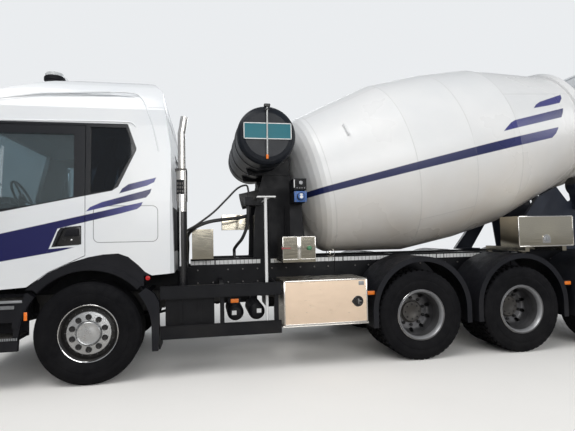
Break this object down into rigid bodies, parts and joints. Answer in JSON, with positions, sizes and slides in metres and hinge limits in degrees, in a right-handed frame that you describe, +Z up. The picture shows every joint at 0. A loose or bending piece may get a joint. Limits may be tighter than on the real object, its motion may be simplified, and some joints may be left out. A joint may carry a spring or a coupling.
{
  "type": "concrete mixer truck",
  "caption": "Four-axle concrete mixer truck with a tilting cab, turning drum on support rollers, hopper and folding swing chute.",
  "frame": {"origin": "on the ground below the middle of the overall length", "axes": "+X forward, +Y to the left of the truck, +Z up"},
  "size_m": [9.9706, 3.09, 3.9519],
  "materials": {
    "white_paint": "gloss",
    "chassis_paint": "satin",
    "black_plastic": "fine grain",
    "navy_paint": "gloss",
    "cast": "matt",
    "tyre": "matt",
    "rim_steel": "satin",
    "stainless": "brushed",
    "aluminium": "satin",
    "tinted_glass": "gloss",
    "interior": "matt",
    "rubber_hose": "matt",
    "tank_plastic": "satin",
    "mirror_shell": "satin"
  },
  "bodies": {
    "chassis": {"frame_rails": "chassis_paint", "subframe": "chassis_paint", "front_axle": "cast", "rear_axles": "cast", "powertrain": "cast", "bumper": "black_plastic", "mudguards": "black_plastic", "side_guards": "chassis_paint", "tanks": "aluminium", "toolbox": "stainless", "exhaust_stack": "stainless", "metal_boxes": "stainless", "control_boxes": "black_plastic", "hoses": "rubber_hose", "front_pedestal": "navy_paint", "drum_gearbox": "cast", "water_tank": "tank_plastic", "rear_pedestal": "navy_paint", "charge_hopper": "white_paint", "collector": "navy_paint", "ladder": "aluminium", "rear_bumper": "chassis_paint"},
    "cab": {"cab_shell": "white_paint", "cab_glass": "tinted_glass", "cab_trim": "black_plastic", "cab_interior": "interior"},
    "door_left": {"door_left": "white_paint", "door_glass_left": "tinted_glass", "mirror_left": "mirror_shell"},
    "steer_left": {"knuckle_left": "cast"},
    "tag_steer_left": {"tag_knuckle_left": "cast"},
    "roller_left": {"roller_left": "cast"},
    "door_right": {"door_right": "white_paint", "door_glass_right": "tinted_glass", "mirror_right": "mirror_shell"},
    "steer_right": {"knuckle_right": "cast"},
    "tag_steer_right": {"tag_knuckle_right": "cast"},
    "roller_right": {"roller_right": "cast"},
    "wheel_front_left": {"tyre_front_left": "tyre", "rim_front_left": "rim_steel"},
    "wheel_front_right": {"tyre_front_right": "tyre", "rim_front_right": "rim_steel"},
    "wheels_drive1_left": {"tyres_drive1_left": "tyre", "rims_drive1_left": "rim_steel"},
    "wheels_drive1_right": {"tyres_drive1_right": "tyre", "rims_drive1_right": "rim_steel"},
    "wheels_drive2_left": {"tyres_drive2_left": "tyre", "rims_drive2_left": "rim_steel"},
    "wheels_drive2_right": {"tyres_drive2_right": "tyre", "rims_drive2_right": "rim_steel"},
    "wheel_tag_left": {"tyre_tag_left": "tyre", "rim_tag_left": "rim_steel"},
    "wheel_tag_right": {"tyre_tag_right": "tyre", "rim_tag_right": "rim_steel"},
    "drum": {"drum": "white_paint", "blades": "white_paint"},
    "toolbox_door": {"toolbox_door": "stainless"},
    "chute_fork": {"chute_fork": "navy_paint"},
    "chute": {"chute": "navy_paint"},
    "chute_extension": {"chute_extension": "navy_paint"}
  },
  "joints": [
    {"name": "steer_left", "type": "hinge", "parent": "chassis", "child": "steer_left", "pos_m": [3.53654, 0.9295, 0.53], "axis": [0, 0, 1], "range_deg": [-35, 35]},
    {"name": "steer_right", "type": "hinge", "parent": "chassis", "child": "steer_right", "pos_m": [3.53654, -0.9295, 0.53], "axis": [0, 0, 1], "range_deg": [-35, 35]},
    {"name": "tag_steer_left", "type": "hinge", "parent": "chassis", "child": "tag_steer_left", "pos_m": [-2.87346, 0.9295, 0.53], "axis": [0, 0, 1], "range_deg": [-15, 15]},
    {"name": "tag_steer_right", "type": "hinge", "parent": "chassis", "child": "tag_steer_right", "pos_m": [-2.87346, -0.9295, 0.53], "axis": [0, 0, 1], "range_deg": [-15, 15]},
    {"name": "spin_front_left", "type": "hinge", "parent": "steer_left", "child": "wheel_front_left", "pos_m": [3.53654, 1.0525, 0.53], "axis": [0, 1, 0], "continuous": true},
    {"name": "spin_drive1_left", "type": "hinge", "parent": "chassis", "child": "wheels_drive1_left", "pos_m": [-0.17346, 0.92, 0.53], "axis": [0, 1, 0], "continuous": true},
    {"name": "spin_drive2_left", "type": "hinge", "parent": "chassis", "child": "wheels_drive2_left", "pos_m": [-1.52346, 0.92, 0.53], "axis": [0, 1, 0], "continuous": true},
    {"name": "spin_tag_left", "type": "hinge", "parent": "tag_steer_left", "child": "wheel_tag_left", "pos_m": [-2.87346, 1.0525, 0.53], "axis": [0, 1, 0], "continuous": true},
    {"name": "spin_front_right", "type": "hinge", "parent": "steer_right", "child": "wheel_front_right", "pos_m": [3.53654, -1.0525, 0.53], "axis": [0, 1, 0], "continuous": true},
    {"name": "spin_drive1_right", "type": "hinge", "parent": "chassis", "child": "wheels_drive1_right", "pos_m": [-0.17346, -0.92, 0.53], "axis": [0, 1, 0], "continuous": true},
    {"name": "spin_drive2_right", "type": "hinge", "parent": "chassis", "child": "wheels_drive2_right", "pos_m": [-1.52346, -0.92, 0.53], "axis": [0, 1, 0], "continuous": true},
    {"name": "spin_tag_right", "type": "hinge", "parent": "tag_steer_right", "child": "wheel_tag_right", "pos_m": [-2.87346, -1.0525, 0.53], "axis": [0, 1, 0], "continuous": true},
    {"name": "cab_tilt", "type": "hinge", "parent": "chassis", "child": "cab", "pos_m": [4.87654, 0, 1.01], "axis": [0, 1, 0], "range_deg": [0, 60]},
    {"name": "door_left_swing", "type": "hinge", "parent": "cab", "child": "door_left", "pos_m": [4.63254, 1.243, 1.8], "axis": [0, 0, -1], "range_deg": [0, 70]},
    {"name": "door_right_swing", "type": "hinge", "parent": "cab", "child": "door_right", "pos_m": [4.63254, -1.243, 1.8], "axis": [0, 0, 1], "range_deg": [0, 70]},
    {"name": "drum_spin", "type": "hinge", "parent": "chassis", "child": "drum", "pos_m": [-0.18146, 0, 2.44], "axis": [-0.9752, 0, 0.2212], "continuous": true},
    {"name": "roller_left_spin", "type": "hinge", "parent": "chassis", "child": "roller_left", "pos_m": [-3.1065, 0.49074, 2.15709], "axis": [-0.9752, 0, 0.2212], "continuous": true},
    {"name": "roller_right_spin", "type": "hinge", "parent": "chassis", "child": "roller_right", "pos_m": [-3.1065, -0.49074, 2.15709], "axis": [-0.9752, 0, 0.2212], "continuous": true},
    {"name": "toolbox_door_swing", "type": "hinge", "parent": "chassis", "child": "toolbox_door", "pos_m": [0.99154, 1.235, 0.484], "axis": [-1, 0, 0], "range_deg": [0, 100]},
    {"name": "chute_swing", "type": "hinge", "parent": "chassis", "child": "chute_fork", "pos_m": [-3.87346, 0, 1.2], "axis": [0, 0, 1], "range_deg": [-80, 80]},
    {"name": "chute_tilt", "type": "hinge", "parent": "chute_fork", "child": "chute", "pos_m": [-3.87346, 0, 1.9], "axis": [0, 1, 0], "range_deg": [0, 35]},
    {"name": "chute_fold", "type": "hinge", "parent": "chute", "child": "chute_extension", "pos_m": [-4.78916, 0, 1.01965], "axis": [0, -1, 0], "range_deg": [0, 180]}
  ],
  "couplings": [
    {"joint": "steer_right", "follows": "steer_left", "ratio": 1},
    {"joint": "tag_steer_left", "follows": "steer_left", "ratio": -0.42857},
    {"joint": "tag_steer_right", "follows": "steer_left", "ratio": -0.42857},
    {"joint": "roller_left_spin", "follows": "drum_spin", "ratio": -6.4643},
    {"joint": "roller_right_spin", "follows": "drum_spin", "ratio": -6.4643}
  ]
}
